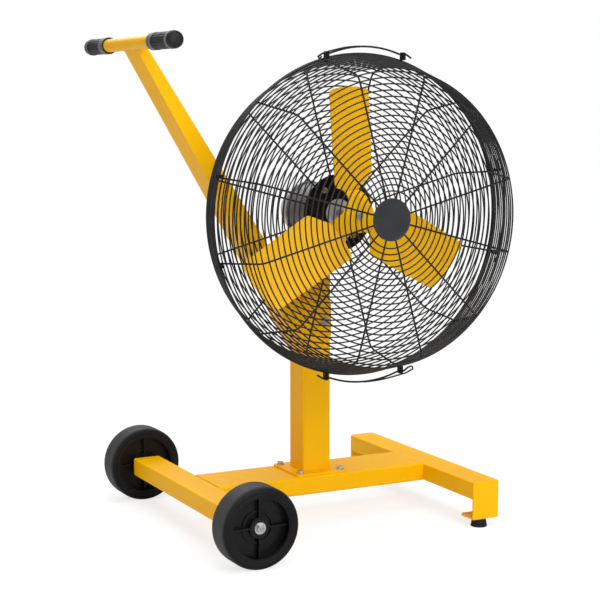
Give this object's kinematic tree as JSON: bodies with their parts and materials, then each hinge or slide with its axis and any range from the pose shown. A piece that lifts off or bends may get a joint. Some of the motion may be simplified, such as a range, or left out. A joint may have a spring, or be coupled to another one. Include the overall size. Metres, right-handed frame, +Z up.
{
  "type": "drum fan",
  "caption": "Cart-mounted industrial drum fan with a tilting wire guard, bladed rotor, motor, braced mast, push handle, wheels and rubber feet",
  "frame": {"origin": "centre of the whole object's bounding box in X and Y, on the floor in Z", "axes": "+Z up; +X from the wheels toward the rubber feet; the fan blows toward -Y"},
  "size_m": [0.9646, 0.8654, 1.3073],
  "materials": {
    "yellow_paint": "semi-gloss powder coat",
    "blade_paint": "semi-gloss powder coat",
    "guard_coat": "satin black powder coat",
    "motor_paint": "satin dark grey paint",
    "bell_silver": "fine cast, satin",
    "zinc": "bright zinc plate",
    "steel": "machined",
    "tyre_rubber": "matt moulded rubber",
    "wheel_plastic": "moulded",
    "foot_rubber": "matt moulded rubber",
    "grip_rubber": "soft moulded grip",
    "grip_grey": "moulded",
    "badge_grey": "satin moulded",
    "box_plastic": "moulded",
    "laminations": "stacked sheet"
  },
  "bodies": {
    "cart": {"axle_beam": "yellow_paint", "axle_end_plates": "yellow_paint", "spine_tube": "yellow_paint", "front_bar": "yellow_paint", "foot_brackets": "yellow_paint", "rubber_feet": "foot_rubber", "foot_bolts": "zinc", "axle_rod": "steel", "axle_washers": "zinc", "axle_nuts": "zinc", "mast_base_plate": "yellow_paint", "base_bolts": "zinc", "mast": "yellow_paint", "handle_arm": "yellow_paint", "arm_bolt": "zinc", "handle_bar": "yellow_paint", "grips": "grip_rubber", "grip_rings": "grip_grey", "tilt_bracket": "guard_coat", "tilt_bolt": "zinc", "cross_bolt_nuts": "zinc"},
    "wheel_near": {"tyre_near": "tyre_rubber", "wheel_core_near": "wheel_plastic", "wheel_bearings_near": "steel"},
    "wheel_far": {"tyre_far": "tyre_rubber", "wheel_core_far": "wheel_plastic", "wheel_bearings_far": "steel"},
    "head": {"motor_cradle": "guard_coat", "cradle_bolts": "zinc", "motor_body": "motor_paint", "motor_front_bell": "motor_paint", "motor_nose": "bell_silver", "motor_rear_bell": "bell_silver", "stator": "laminations", "motor_bearings": "steel", "terminal_box": "box_plastic", "cable_gland": "box_plastic", "guard_plate": "guard_coat", "guard_plate_bolts": "zinc", "rear_face_rings": "guard_coat", "rear_side_rings": "guard_coat", "rear_rim_ring": "guard_coat", "rear_ribs": "guard_coat", "front_face_rings": "guard_coat", "front_side_rings": "guard_coat", "front_rim_ring": "guard_coat", "front_ribs": "guard_coat", "badge": "badge_grey", "latch_blocks": "guard_coat"},
    "rotor": {"shaft": "steel", "rotor_core": "laminations", "hub": "blade_paint", "blade_1": "blade_paint", "blade_2": "blade_paint", "blade_3": "blade_paint", "hub_bolt": "zinc"},
    "top_latch": {"latch_top": "guard_coat"},
    "right_latch": {"latch_right": "guard_coat"},
    "bottom_latch": {"latch_bottom": "guard_coat"},
    "left_latch": {"latch_left": "guard_coat"}
  },
  "joints": [
    {"name": "wheel_near_spin", "type": "hinge", "parent": "cart", "child": "wheel_near", "pos_m": [-0.29768, -0.37525, 0.1045], "axis": [0, 1, 0], "continuous": true},
    {"name": "wheel_far_spin", "type": "hinge", "parent": "cart", "child": "wheel_far", "pos_m": [-0.29768, 0.39275, 0.1045], "axis": [0, 1, 0], "continuous": true},
    {"name": "head_tilt", "type": "hinge", "parent": "cart", "child": "head", "pos_m": [0.05232, 0.00875, 0.738], "axis": [1, 0, 0], "range_deg": [-20, 20]},
    {"name": "rotor_spin", "type": "hinge", "parent": "head", "child": "rotor", "pos_m": [0.05232, -0.25315, 0.8495], "axis": [0, -1, 0], "continuous": true},
    {"name": "latch_top_swing", "type": "hinge", "parent": "head", "child": "top_latch", "pos_m": [0.05232, -0.29145, 1.25898], "axis": [-1, 0, 0], "range_deg": [0, 60]},
    {"name": "latch_right_swing", "type": "hinge", "parent": "head", "child": "right_latch", "pos_m": [0.4618, -0.29145, 0.8495], "axis": [0, 0, 1], "range_deg": [0, 60]},
    {"name": "latch_bottom_swing", "type": "hinge", "parent": "head", "child": "bottom_latch", "pos_m": [0.05232, -0.29145, 0.44002], "axis": [1, 0, 0], "range_deg": [0, 60]},
    {"name": "latch_left_swing", "type": "hinge", "parent": "head", "child": "left_latch", "pos_m": [-0.35716, -0.29145, 0.8495], "axis": [0, 0, -1], "range_deg": [0, 60]}
  ]
}
